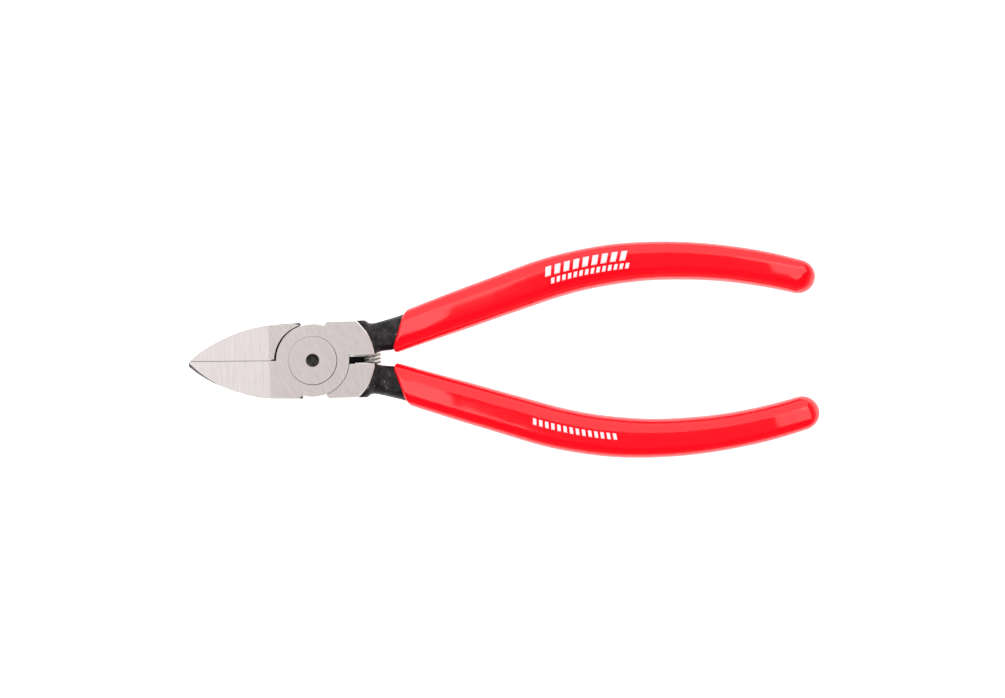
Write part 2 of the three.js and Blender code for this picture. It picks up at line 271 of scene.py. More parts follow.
def from_rings(name, rings):
    """A mesh skinned over rings of points and capped at both ends."""
    mesh = bpy.data.meshes.new(name)
    bm = bmesh.new()
    rows = [[bm.verts.new(point) for point in ring] for ring in rings]
    for row, following in zip(rows, rows[1:]):
        for i in range(len(row)):
            j = (i + 1) % len(row)
            bm.faces.new((row[i], row[j], following[j], following[i]))
    bm.faces.new(rows[0])
    bm.faces.new(rows[-1])
    bmesh.ops.remove_doubles(bm, verts=bm.verts, dist=1e-7)
    bmesh.ops.recalc_face_normals(bm, faces=bm.faces)
    bm.to_mesh(mesh)
    bm.free()
    piece = bpy.data.objects.new(name, mesh)
    bpy.context.scene.collection.objects.link(piece)
    return piece


def bake_modifiers(piece):
    """Makes the modified shape of a piece its own mesh."""
    graph = bpy.context.evaluated_depsgraph_get()
    mesh = bpy.data.meshes.new_from_object(piece.evaluated_get(graph))
    piece.modifiers.clear()
    piece.data = mesh


def combine(piece, tool, operation):
    """Joins, cuts or intersects a piece with a tool, and deletes the tool."""
    boolean = piece.modifiers.new(operation.title(), "BOOLEAN")
    boolean.operation = operation
    boolean.object = tool
    boolean.solver = "MANIFOLD"
    bake_modifiers(piece)
    bpy.data.objects.remove(tool)
    if not piece.data.polygons:
        raise RuntimeError(f"{operation.lower()} left nothing of {piece.name}")
    return piece


def inset(outline, distances):
    """A closed outline with each corner moved in by its own distance, along its mitre."""
    count = len(outline)
    area = sum(outline[i - 1][0] * outline[i][1] - outline[i][0] * outline[i - 1][1]
               for i in range(count))
    turn = 1 if area > 0 else -1
    moved = []
    for i, point in enumerate(outline):
        here = Vector(point)
        back = (here - Vector(outline[i - 1])).normalized()
        on = (Vector(outline[(i + 1) % count]) - here).normalized()
        normals = [Vector((-d.y, d.x)) * turn for d in (back, on)]
        mitre = normals[0] + normals[1]
        stretch = 2 / max(mitre.length_squared, 0.8)
        moved.append(here + mitre * stretch * distances[i])
    return moved


def plate(name, outline, edge_break, leans=None):
    """A full-thickness plate of the head, its faces chamfered and its sides leaning in."""
    leans = leans or [0.0] * len(outline)
    rim_share = 1 - edge_break / (HALF_HEAD - LEAN_START)
    rims = inset(outline, [lean * rim_share for lean in leans])
    faces = inset(outline, [lean + edge_break for lean in leans])
    backs = inset(outline, [edge_break] * len(outline))
    levels = [(-HALF_HEAD, backs), (-HALF_HEAD + edge_break, outline), (LEAN_START, outline),
              (HALF_HEAD - edge_break, rims), (HALF_HEAD, faces)]
    return from_rings(name, [[(x, y, z) for x, y in ring] for z, ring in levels])


def circle(radius, z, centre=(0, 0), segments=192):
    """A level ring of points."""
    turns = [2 * math.pi * i / segments for i in range(segments)]
    return [(centre[0] + radius * math.cos(a), centre[1] + radius * math.sin(a), z) for a in turns]


def round_tool(name, profile, centre=(0, 0)):
    """A turned solid on an upright axis, from (radius, height) pairs."""
    return from_rings(name, [circle(radius, z, centre) for radius, z in profile])


# Steel arms

def cut_line_y(x):
    """Where the cutting line lies across the tool."""
    return -x * CUT_SLOPE


def jaw_plate(side):
    """One jaw: a straight cutting edge, a curved outer edge and a flat rear end."""
    tip = BLUNT_TIP if side == FRONT else POINTED_TIP
    outer = [(x, -side * y) for x, y in smooth_line([tip, *JAW_OUTER], 7)]
    rear = [(x, -side * y) for x, y in JAW_REAR]
    edge_start = (0, cut_line_y(0))
    edge_end = (tip[0] + 0.01 * MM, cut_line_y(tip[0]))
    outline = [edge_start, edge_end, *outer, *rear]
    leans = [0, 0] + [at_station(SIDE_LEAN[side], x) for x, _ in outer] + [0.7 * MM, 0.1 * MM, 0]
    return plate("jaw", outline, 0.06 * MM, leans)


def shoulder_plate(side, head):
    """The shoulder behind the disc, bordered by the arc where grinding meets the forged skin."""
    edge = SLOT_EDGES[side]
    high, low = (math.asin(y / SHOULDER_ARC_RADIUS) for y in (SHOULDER_Y, edge))
    border = []
    for i in range(41):
        angle = high + (low - high) * i / 40
        wander = 0.035 * MM * math.sin(37 * angle) * math.sin(11 * angle + side)
        radius = SHOULDER_ARC_RADIUS + (wander if 0 < i < 40 else 0)
        border.append((SHOULDER_ARC_X + radius * math.cos(angle), radius * math.sin(angle)))
    corner = [(SHOULDER_CORNER[0][0], edge), *SHOULDER_CORNER[1:]]
    outline = [(x, side * y) for x, y in corner + border]
    return plate("shoulder", outline, 1.8 * head.edge_break)


def spine_at(distance):
    """Point and heading of the spine of the upper handle."""
    point, heading = SPINE_START.copy(), SPINE_HEADING
    straight = min(distance, SPINE_STRAIGHT)
    point += straight * Vector((math.cos(heading), math.sin(heading)))
    left = max(0.0, distance - SPINE_STRAIGHT)
    for radius, reach in SPINE_ARCS:
        run = min(left, reach)
        turned = heading - run / radius
        point += radius * Vector((math.sin(heading) - math.sin(turned),
                                  math.cos(turned) - math.cos(heading)))
        heading, left = turned, left - run
    return point, heading


def squircle(angle, half_width, half_depth, outer_power, inner_power):
    """A point of a rounded section: how far out and how high."""
    across, up = math.cos(angle), math.sin(angle)
    power = outer_power if across > 0 else inner_power
    return (math.copysign(abs(across) ** (2 / power), across) * half_width,
            math.copysign(abs(up) ** (2 / power), up) * half_depth)


def tang_depth(x, y):
    """Half thickness of the forged skin, which falls from the ground face to the tang."""
    past_arc = math.hypot(x - SHOULDER_ARC_X, y) - SHOULDER_ARC_RADIUS
    share = min(1.0, max(0.0, past_arc / TANG_FALL))
    fall = share * share * (3 - 2 * share)
    return SKIN_HALF_DEPTH - fall * (SKIN_HALF_DEPTH - TANG_HALF_DEPTH)


def tang_bar(side):
    """The blackened tang and the core under the vinyl, as one bar."""
    rows = [(*outer, *inner, square) for outer, inner, square in TANG_STATIONS]
    stations = [(row[0] * MM, row[1] * MM, row[2] * MM, row[3] * MM, row[4])
                for row in smooth_line(rows, 4)]
    for i in range(40):
        distance = CORE_START + (CORE_END - CORE_START) * i / 39
        point, heading = spine_at(distance)
        out = Vector((-math.sin(heading), math.cos(heading)))
        reach = at_station(GRIP_HALF_WIDTHS, distance) - CORE_INSET
        stations.append((*(point + reach * out), *(point - reach * out), TANG_SQUARENESS))
    rings = []
    for outer_x, outer_y, inner_x, inner_y, square in stations:
        ring = []
        for i in range(TANG_RING_POINTS):
            across, up = squircle(2 * math.pi * i / TANG_RING_POINTS, 1, 1, square, square)
            share = (1 + across) / 2
            x = inner_x + (outer_x - inner_x) * share
            y = inner_y + (outer_y - inner_y) * share
            ring.append((x, side * y, side * up * tang_depth(x, y)))
        rings.append(ring)
    return from_rings("tang", rings)


def neighbour_cutter(side, radius, centre, head):
    """Clears the other arm's half of the joint, with a broken edge at the face."""
    far = -side * HALF_HEAD
    rim = side * head.edge_break
    profile = [(radius, side * head.lap_gap / 2), (radius, far + rim),
               (radius + 4 * head.edge_break, far - 3 * rim)]
    return round_tool("neighbour", profile, centre)


def face_slope():
    """Fall of the jaws' faces towards the tip, per length."""
    return FACE_FALL / (FACE_SLOPE_X - JAW_TIP_X)


def cutting_hollow(head):
    """The V behind the cutting edges, open to the back: a steep land, then the main bevel."""
    fall = face_slope()
    rings = []
    for x in (FACE_SLOPE_X, -42 * MM):
        apex_y = cut_line_y(x)
        apex_z = HALF_HEAD - head.edge_land + fall * (x - FACE_SLOPE_X)
        section = mm([(0, 0), (0.75, -0.9), (9.4, -20), (-9.4, -20), (-0.75, -0.9)])
        rings.append([(x, apex_y + y, apex_z + z) for y, z in section])
    return from_rings("hollow", rings)


def seam_groove():
    """The fine broken edge along the cutting line, following the sloped faces."""
    fall = face_slope()
    rings = []
    for x in (FACE_SLOPE_X + 0.1 * MM, -31 * MM):
        face_z = HALF_HEAD + fall * (x - FACE_SLOPE_X)
        section = mm([(-0.08, 0.02), (0.08, 0.02), (0, -0.09)])
        rings.append([(x, cut_line_y(x) + y, face_z + z) for y, z in section])
    return from_rings("seam", rings)


def side_tool(name, profile):
    """A profile in the XZ plane, extruded across the tool."""
    return from_rings(name, [[(x, y, z) for x, z in profile] for y in (-20 * MM, 20 * MM)])


def face_relief():
    """Takes the jaws' faces down in a straight slope to the tip."""
    end = -40 * MM
    low = HALF_HEAD + face_slope() * (end - FACE_SLOPE_X)
    return side_tool("face_relief", [(FACE_SLOPE_X, HALF_HEAD), (end, low),
                                     (end, 2 * HALF_HEAD), (FACE_SLOPE_X, 2 * HALF_HEAD)])


def back_taper():
    """The backs of the jaws rise in a shallow curve to a thin tip."""
    curve = smooth_line(mm([(-8, -5), (-14, -4.05), (-20, -2.35), (-26, -0.35), (-31.6, 1.6),
                            (-38, 3.8)]), 5)
    return side_tool("back_taper", [*curve, (-38 * MM, -9 * MM), (-8 * MM, -9 * MM)])


def bore_tool():
    """The countersunk bore, a hair off the rivet's centre as a worn joint is."""
    gap = 0.068 * MM
    head_radius, shank = RIVET_RADIUS + gap, 4 * MM + gap
    rim = HALF_HEAD - 0.6 * MM
    neck = HALF_HEAD - 2.6 * MM
    flare = 0.03 * MM
    top = [(shank, neck), (head_radius, rim), (head_radius, HALF_HEAD - flare),
           (head_radius + 2 * flare, HALF_HEAD + flare)]
    profile = [(radius, -z) for radius, z in reversed(top)] + top
    return round_tool("bore", profile, (0.047 * MM, -0.042 * MM))


def spring_pocket():
    """The round pocket across both arms that the spring is seated in."""
    centre_x = (SPRING_LOW.x + SPRING_HIGH.x) / 2
    return from_rings("pocket", [
        [(centre_x + x, y, z) for x, z, _ in circle(2.55 * MM, 0, segments=48)]
        for y in (-5.9 * MM, 5.9 * MM)])


def slot_web():
    """The forged web of the back arm that closes the bottom of the slot."""
    corners = ((9.0, -1.5), (14.4, -1.5), (14.4, 0.7), (9.0, 0.7))
    return from_rings("web", [mm([(x, y, z) for x, y in corners]) for z in (-4.4, -2.75)])


def root_notch():
    """The small relief where the upper cutting edge runs out at the joint."""
    line_y = cut_line_y(-10 * MM)
    corners = mm([(-10.85, -0.02), (-8.6, -0.02), (-8.6, 0.4), (-10.3, 0.36)])
    return from_rings("notch", [[(x, line_y + y, z) for x, y in corners]
                                for z in (2 * MM, HALF_HEAD * 2)])


def build_arm(side, head, finishes):
    """One arm: its half of the disc, and its jaw, shoulder and tang at full thickness."""
    jaw_centre = (-0.28 * MM, 0.1 * MM * side)
    jaw_clearance = neighbour_cutter(side, head.disc_radius + head.jaw_gap, jaw_centre, head)
    jaw = combine(jaw_plate(side), jaw_clearance, "DIFFERENCE")
    shoulder_clearance = neighbour_cutter(side, head.disc_radius + head.shoulder_gap, (0, 0), head)
    shoulder = combine(shoulder_plate(side, head), shoulder_clearance, "DIFFERENCE")
    face = side * HALF_HEAD
    rim = face - side * head.edge_break
    disc = round_tool("disc", [
        (head.disc_radius, side * head.lap_gap / 2), (head.disc_radius, rim),
        (head.disc_radius - head.edge_break, face)], DISC_CENTRES[side])
    arm = combine(disc, jaw, "UNION")
    combine(arm, shoulder, "UNION")
    combine(arm, tang_bar(side), "UNION")
    if side == BACK:
        combine(arm, slot_web(), "UNION")
    for tool in (cutting_hollow(head), face_relief(), seam_groove(), back_taper(), bore_tool(),
                 spring_pocket()):
        combine(arm, tool, "DIFFERENCE")
    if side == BACK:
        combine(arm, root_notch(), "DIFFERENCE")
    arm.name = ("front" if side == FRONT else "back") + "_arm_forging"
    arm.data.transform(Matrix.Translation((0, 0, MID_Z)))
    finish_arm(arm, finishes)
    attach(arm, BODIES[side])
    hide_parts(ARM_NODES[side])
    return arm


def finish_arm(arm, finishes):
    """Gives each face of an arm its finish by where it lies and which way it looks."""
    arm.data.materials.clear()
    for material in (
            ground_steel("ground_joint_steel", finishes.joint_steel, math.radians(117), 2.4 * MM),
            ground_steel("ground_jaw_steel", finishes.jaw_steel, math.radians(90), 6 * MM),
            black_oxide_forging(finishes.black_steel),
            burnished_edge_painted_highlight(finishes.burnished_steel_painted_highlight)):
        arm.data.materials.append(material)
    # Sides, the lap's inside and the tang past the shoulder's arc stay black. The seam's walls at the
    # cutting line are painted black, a painted shade line where the jaws meet. A slanted face on the
    # joint is a stoned edge, its near-white colour partly a painted highlight, and the bevels at the
    # back of the jaws are ground.
    joint, jaw, black, edge = range(4)
    for face in arm.data.polygons:
        x, y, z = face.center
        corners = [arm.data.vertices[i].co for i in face.vertices]
        reach = max(math.hypot(v.x - SHOULDER_ARC_X, v.y) for v in corners)
        past_arc = reach > SHOULDER_ARC_RADIUS + 0.06 * MM
        inside = abs(z - MID_Z) < 0.9 * HALF_HEAD and x > FACE_SLOPE_X
        bevel = face.normal.z < -0.2 and x < -8 * MM
        level = abs(face.normal.z) > 0.55
        # The seam's walls are painted black: painted shade along the line where the two jaws meet
        seam = x < -11.5 * MM and abs(y - cut_line_y(x)) < 0.1 * MM and abs(face.normal.z) < 0.95
        if past_arc and x > 0 or inside or seam or not (level or bevel):
            face.material_index = black
        # A slanted face on the joint gets the near-white stoned steel, partly a painted highlight
        elif abs(face.normal.z) < 0.9 and x > FACE_SLOPE_X:
            face.material_index = edge
        else:
            face.material_index = jaw if x < FACE_SLOPE_X or bevel else joint
    crease(arm)


def crease(piece, angle=26):
    """Smooth shading, with hard edges at corners, between finishes and between flat ground faces."""
    bm = bmesh.new()
    bm.from_mesh(piece.data)
    for face in bm.faces:
        face.smooth = True
    for edge in bm.edges:
        if len(edge.link_faces) != 2:
            continue
        one, other = edge.link_faces
        turn = math.degrees(one.normal.angle(other.normal, 0))
        both_level = abs(one.normal.z) > 0.97 and abs(other.normal.z) > 0.97
        ground = one.material_index < 2 and other.material_index < 2
        edge.smooth = not (turn > angle or one.material_index != other.material_index
                           or (both_level and ground and turn > 0.2))
    bm.to_mesh(piece.data)
    bm.free()


# Materials

def add_node(tree, kind, inputs=None, **settings):
    """Adds one node with its settings, and gives each input a value or a link."""
    node = tree.nodes.new(kind)
    for name, value in settings.items():
        setattr(node, name, value)
    for key, value in (inputs or {}).items():
        if isinstance(value, bpy.types.NodeSocket):
            tree.links.new(value, node.inputs[key])
        else:
            node.inputs[key].default_value = value
    return node


def new_material(name, **shader_values):
    """A material with one Principled shader, whose plain values sit on its own sockets."""
    material = bpy.data.materials.new(name)
    material.use_nodes = True
    tree = material.node_tree
    shader = tree.nodes["Principled BSDF"]
    for key, value in shader_values.items():
        shader.inputs[key.replace("_", " ")].default_value = value
    return material, tree, shader


def feed(shader, **sources):
    """Links the results of other nodes to the shader's sockets."""
    for key, source in sources.items():
        shader.id_data.links.new(source, shader.inputs[key.replace("_", " ")])


def object_space(tree, scale, turn=0.0):
    """Object coordinates in metres, turned about Z and then scaled, so that a scale is 1 / size."""
    coordinates = add_node(tree, "ShaderNodeTexCoord")
    turned = add_node(tree, "ShaderNodeVectorRotate",
                      {"Vector": coordinates.outputs["Object"], "Angle": turn}, rotation_type="Z_AXIS")
    scaled = add_node(tree, "ShaderNodeVectorMath", {0: turned.outputs[0], 1: scale},
                      operation="MULTIPLY")
    return scaled.outputs[0]


def cube(size):
    """The scale of a pattern whose grain has this size, the same along all three axes."""
    return (1 / size,) * 3


def tinted(colour, strength):
    """A colour made lighter or darker, still opaque."""
    return [channel * strength for channel in colour[:3]] + [1]


def ground_steel(name, colour, lay, scratch_length):
    """Tool steel, surface ground on a belt: fine parallel scratches of one lay, which draw the
    light out across them and leave a pale, silky, slightly streaked face."""
    if name in bpy.data.materials:
        return bpy.data.materials[name]
    material, tree, shader = new_material(name, Metallic=1.0, Roughness=0.4)
    # Real grinding scratches are a few hundredths of a millimetre wide, too fine to show from above
    scratch_width = 0.22 * MM
    along = object_space(tree, (1 / scratch_length, 1 / scratch_width, 1 / (3 * MM)), -lay)
    scratches = add_node(tree, "ShaderNodeTexNoise",
                         {"Vector": along, "Scale": 1.0, "Detail": 4.0, "Roughness": 0.65})
    cloud = add_node(tree, "ShaderNodeTexNoise",
                     {"Vector": object_space(tree, cube(3 * MM)), "Scale": 1.0, "Detail": 2.0})
    shade = add_node(tree, "ShaderNodeMapRange",
                     {"Value": scratches.outputs[0], "From Min": 0.32, "From Max": 0.6})
    tint = add_node(tree, "ShaderNodeMix",
                    {"Factor": shade.outputs[0], "A": tinted(colour, 0.8), "B": list(colour)},
                    data_type="RGBA")
    streaks = add_node(tree, "ShaderNodeMapRange",
                       {"Value": scratches.outputs[0], "From Min": 0.3, "From Max": 0.7,
                        "To Min": 0.33, "To Max": 0.47})
    blotches = add_node(tree, "ShaderNodeMath", {0: cloud.outputs[0], 1: 0.06, 2: streaks.outputs[0]},
                        operation="MULTIPLY_ADD")
    relief = add_node(tree, "ShaderNodeBump",
                      {"Height": scratches.outputs[0], "Strength": 0.25, "Distance": 0.01 * MM})
    feed(shader, Base_Color=tint.outputs["Result"],
         Roughness=blotches.outputs[0],
         Normal=relief.outputs[0])
    return material


def burnished_edge_painted_highlight(colour):
    """Edges broken by hand on a fine stone: a bright line, since the narrow chamfer catches the light
    of the horizon and its colour is set near white as a painted highlight, with small dull spots where
    the stone skipped."""
    name = "burnished_steel_edge"
    if name in bpy.data.materials:
        return bpy.data.materials[name]
    material, tree, shader = new_material(name, Metallic=1.0, Roughness=0.25)
    skips = add_node(tree, "ShaderNodeTexNoise",
                     {"Vector": object_space(tree, cube(0.7 * MM)), "Scale": 1.0, "Detail": 3.0})
    shade = add_node(tree, "ShaderNodeMapRange",
                     {"Value": skips.outputs[0], "From Min": 0.3, "From Max": 0.5})
    tint = add_node(tree, "ShaderNodeMix",
                    {"Factor": shade.outputs[0], "A": tinted(colour, 0.9), "B": list(colour)},
                    data_type="RGBA")
    polish = add_node(tree, "ShaderNodeMapRange",
                      {"Value": skips.outputs[0], "To Min": 0.44, "To Max": 0.34})
    feed(shader, Base_Color=tint.outputs["Result"], Roughness=polish.outputs[0])
    return material


def black_oxide_forging(colour):
    """Drop-forged steel, shot blasted and blackened: a dull charcoal skin with a fine pebble and
    a few bright specks where the oxide has rubbed through."""
    name = "black_oxide_forging"
    if name in bpy.data.materials:
        return bpy.data.materials[name]
    material, tree, shader = new_material(name, Metallic=0.55, Roughness=0.45)
    # The blasted pebble is near a tenth of a millimetre in life, and is drawn coarser so that it shows
    pebble = add_node(tree, "ShaderNodeTexNoise",
                      {"Vector": object_space(tree, cube(0.5 * MM)), "Scale": 1.0, "Detail": 4.0,
                       "Roughness": 0.65})
    scale = add_node(tree, "ShaderNodeTexNoise",
                     {"Vector": object_space(tree, cube(2.2 * MM)), "Scale": 1.0, "Detail": 3.0})
    specks = add_node(tree, "ShaderNodeTexVoronoi",
                      {"Vector": object_space(tree, cube(0.8 * MM)), "Scale": 1.0})
    rubbed = add_node(tree, "ShaderNodeMapRange",
                      {"Value": specks.outputs["Distance"], "From Min": 0.2, "From Max": 0.1,
                       "To Min": 0.0, "To Max": 1.0})
    patchy = add_node(tree, "ShaderNodeMapRange",
                      {"Value": scale.outputs[0], "From Min": 0.49, "From Max": 0.61})
    shown = add_node(tree, "ShaderNodeMath", {0: rubbed.outputs[0], 1: patchy.outputs[0]},
                     operation="MULTIPLY")
    mottle = add_node(tree, "ShaderNodeMath", {0: scale.outputs[0], 1: pebble.outputs[0]},
                      operation="ADD")
    worn = add_node(tree, "ShaderNodeMapRange",
                    {"Value": mottle.outputs[0], "From Min": 0.92, "From Max": 1.12})
    skin = add_node(tree, "ShaderNodeMix",
                    {"Factor": worn.outputs[0], "A": tinted(colour, 0.6), "B": tinted(colour, 3.4)},
                    data_type="RGBA")
    tint = add_node(tree, "ShaderNodeMix",
                    {"Factor": shown.outputs[0], "A": skin.outputs["Result"], "B": linear("#B9B5B0")},
                    data_type="RGBA")
    sheen = add_node(tree, "ShaderNodeMapRange",
                     {"Value": pebble.outputs[0], "From Min": 0.3, "From Max": 0.7,
                      "To Min": 0.36, "To Max": 0.58})
    relief = add_node(tree, "ShaderNodeBump",
                      {"Height": pebble.outputs[0], "Strength": 0.9, "Distance": 0.14 * MM})
    feed(shader, Base_Color=tint.outputs["Result"],
         Roughness=sheen.outputs[0],
         Normal=relief.outputs[0])
    return material


def punched_steel(colour):
    """The punched centre of the rivet: crushed dark steel with a coarse broken grain."""
    material, tree, shader = new_material("punched_steel", Metallic=0.6, Roughness=0.5)
    # The broken grain is finer than this in life, and is drawn coarser so that it shows
    grain = add_node(tree, "ShaderNodeTexVoronoi",
                     {"Vector": object_space(tree, cube(0.6 * MM)), "Scale": 1.0})
    crushed = add_node(tree, "ShaderNodeMapRange",
                       {"Value": grain.outputs["Distance"], "From Min": 0.25, "From Max": 0.6})
    tint = add_node(tree, "ShaderNodeMix",
                    {"Factor": crushed.outputs[0], "A": tinted(colour, 0.15), "B": tinted(colour, 1.6)},
                    data_type="RGBA")
    relief = add_node(tree, "ShaderNodeBump",
                      {"Height": grain.outputs["Distance"], "Strength": 0.8, "Distance": 0.08 * MM})
    feed(shader, Base_Color=tint.outputs["Result"], Normal=relief.outputs[0])
    return material


def drawn_wire(colour):
    """Spring steel, cold drawn and phosphated: a soft, pale glow along each turn rather than a sharp
    glint, with a faint cloud from the die lubricant."""
    material, tree, shader = new_material("drawn_spring_wire", Metallic=0.6, Roughness=0.4)
    cloud = add_node(tree, "ShaderNodeTexNoise",
                     {"Vector": object_space(tree, cube(0.6 * MM)), "Scale": 1.0, "Detail": 3.0})
    tint = add_node(tree, "ShaderNodeMix",
                    {"Factor": cloud.outputs[0], "A": tinted(colour, 0.75), "B": list(colour)},
                    data_type="RGBA")
    polish = add_node(tree, "ShaderNodeMapRange",
                      {"Value": cloud.outputs[0], "To Min": 0.38, "To Max": 0.56})
    feed(shader, Base_Color=tint.outputs["Result"], Roughness=polish.outputs[0])
    return material


def dipped_vinyl(colour):
    """Vinyl plastisol, hot dipped and cured: a thick wet-looking skin, smooth but never quite flat,
    so that the edges of reflections wander a little along the grip."""
    name = "dipped_vinyl"
    if name in bpy.data.materials:
        return bpy.data.materials[name]
    material, tree, shader = new_material(name, Metallic=0.0, Roughness=0.1, IOR=1.53)
    sag = add_node(tree, "ShaderNodeTexNoise",
                   {"Vector": object_space(tree, cube(9 * MM)), "Scale": 1.0, "Detail": 1.0})
    peel = add_node(tree, "ShaderNodeTexNoise",
                    {"Vector": object_space(tree, cube(0.9 * MM)), "Scale": 1.0, "Detail": 2.0})
    tint = add_node(tree, "ShaderNodeMix",
                    {"Factor": sag.outputs[0], "A": tinted(colour, 0.93), "B": list(colour)},
                    data_type="RGBA")
    handled = add_node(tree, "ShaderNodeMapRange",
                       {"Value": peel.outputs[0], "To Min": 0.07, "To Max": 0.13})
    waves = add_node(tree, "ShaderNodeBump",
                     {"Height": sag.outputs[0], "Strength": 0.4, "Distance": 0.15 * MM})
    skin = add_node(tree, "ShaderNodeBump",
                    {"Height": peel.outputs[0], "Strength": 0.06, "Distance": 0.02 * MM,
                     "Normal": waves.outputs[0]})
    feed(shader, Base_Color=tint.outputs["Result"],
         Roughness=handled.outputs[0],
         Normal=skin.outputs[0])
    return material


def pad_print_ink(colour):
    """Pad-printed vinyl ink: an opaque satin film, a little thin where the pad lifted."""
    name = "pad_print_ink"
    if name in bpy.data.materials:
        return bpy.data.materials[name]
    material, tree, shader = new_material(name, Metallic=0.0, Roughness=0.35, IOR=1.5)
    cover = add_node(tree, "ShaderNodeTexNoise",
                     {"Vector": object_space(tree, cube(0.5 * MM)), "Scale": 1.0, "Detail": 3.0})
    thin = add_node(tree, "ShaderNodeMapRange",
                    {"Value": cover.outputs[0], "From Min": 0.35, "From Max": 0.6})
    tint = add_node(tree, "ShaderNodeMix",
                    {"Factor": thin.outputs[0], "A": linear("#F2D6D8"), "B": list(colour)},
                    data_type="RGBA")
    feed(shader, Base_Color=tint.outputs["Result"])
    return material


# Rivet, spring and grips

def build_rivet(head, finishes):
    """The rivet: a shank, two countersunk heads and a punched centre on the front."""
    rim = HALF_HEAD - 0.6 * MM
    neck = HALF_HEAD - 2.6 * MM
    edge = 0.06 * MM
    hole = head.dimple_radius
    floor = HALF_HEAD - 1.0 * MM
    back = [(0, -HALF_HEAD), (RIVET_RADIUS - edge, -HALF_HEAD), (RIVET_RADIUS, -HALF_HEAD + edge),
            (RIVET_RADIUS, -rim), (4 * MM, -neck)]
    front = [(4 * MM, neck), (RIVET_RADIUS, rim), (RIVET_RADIUS, HALF_HEAD - edge),
             (RIVET_RADIUS - edge, HALF_HEAD), (hole + 0.16 * MM, HALF_HEAD),
             (hole, HALF_HEAD - 0.14 * MM), (hole - 0.1 * MM, floor + 0.1 * MM),
             (hole - 0.3 * MM, floor), (hole * 0.45, floor - 0.08 * MM), (0, floor - 0.12 * MM)]
    rivet = round_tool("joint_rivet", back + front)
    rivet.data.transform(Matrix.Translation((0, 0, MID_Z)))
    rivet.data.materials.append(
        ground_steel("ground_rivet_steel", finishes.joint_steel, math.radians(114), 3 * MM))
    rivet.data.materials.append(punched_steel(finishes.punched_steel))
    wall_top = HEAD_TOP - 0.12 * MM
    for face in rivet.data.polygons:
        inside = math.hypot(face.center.x, face.center.y) < hole and face.center.z > MID_Z
        face.material_index = int(inside and face.center.z < wall_top)
    crease(rivet)
    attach(rivet, BODIES[BACK])
    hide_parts("pivot_rivet")
    return rivet


def build_spring(sizes, finishes):
    """A close helix across the slot, its end turns shut and seated in the two pockets. Between
    them the coils lean, so that the front of each turn runs square across the tool."""
    centre_x = (SPRING_LOW.x + SPRING_HIGH.x) / 2
    wire = sizes.wire_diameter / 2
    radius = (SPRING_HIGH.x - SPRING_LOW.x) / 2 - wire
    low, high = SPRING_LOW.y + wire, SPRING_HIGH.y - wire
    closed_pitch = 1.04 * sizes.wire_diameter
    steps = int(sizes.turns * 40)
    open_turns = sizes.turns - 2 * sizes.end_turns
    open_pitch = (high - low - 2 * sizes.end_turns * closed_pitch) / open_turns

    def point(turn):
        closed = min(turn, sizes.end_turns) + max(0.0, turn - sizes.turns + sizes.end_turns)
        y = low + closed * closed_pitch + (turn - closed) * open_pitch
        angle = 2 * math.pi * (turn - sizes.phase)
        across = radius * math.cos(angle)
        lean = open_pitch / (4 * radius) * math.cos(math.pi * y / (high - low))
        return Vector((centre_x + across, y + lean * across, MID_Z + radius * math.sin(angle)))

    rings = []
    for i in range(steps + 1):
        turn = sizes.turns * i / steps
        here = point(turn)
        out = (here - Vector((centre_x, here.y, MID_Z))).normalized()
        along = (point(turn + 0.01) - point(turn - 0.01)).normalized()
        up = along.cross(out).normalized()
        rings.append([here + wire * (math.cos(a) * out + math.sin(a) * up)
                      for a in (2 * math.pi * k / 14 for k in range(14))])
    spring = from_rings("coil_spring", rings)
    spring.data.materials.append(drawn_wire(finishes.spring_steel))
    crease(spring, 50)
    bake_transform(spring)
    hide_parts("opening_spring")
    return spring


def grip_point(side, distance, offset, height):
    """A point of a grip, from its place along the spine, outwards and upwards."""
    point, heading = spine_at(distance)
    out = Vector((-math.sin(heading), math.cos(heading)))
    place = point + offset * out
    return (place.x, side * place.y, MID_Z + side * height)


def mouth_shift(sizes, offset, width, distance):
    """How far the slanted, round-cornered dip line carries a ring, dying away along the grip."""
    near = max(0.0, 1 - max(0.0, distance) / (16 * MM))
    corner = 1.1 * MM if offset > 0 else 1.9 * MM
    into = min(1.0, max(0.0, (abs(offset) - width + corner) / corner))
    rounding = 0.9 * corner * (1 - math.sqrt(1 - into * into))
    return (offset * math.tan(sizes.mouth_lean) + rounding) * near ** 2


def grip_ring(side, sizes, distance, share=1.0, drop=0.0, square=0.0):
    """One ring of a grip. share scales the section, drop insets it, square turns it to the tang's."""
    width = (at_station(GRIP_HALF_WIDTHS, distance) - drop) * share
    depth = (at_station(GRIP_HALF_DEPTHS, distance) - drop) * share
    outer = sizes.outer_roundness + square * (TANG_SQUARENESS - sizes.outer_roundness)
    inner = sizes.inner_roundness + square * (TANG_SQUARENESS - sizes.inner_roundness)
    ring = []
    for i in range(GRIP_RING_POINTS):
        offset, height = squircle(2 * math.pi * i / GRIP_RING_POINTS, width, depth, outer, inner)
        shift = mouth_shift(sizes, offset, width, distance)
        ring.append(grip_point(side, distance + shift, offset, height))
    return ring


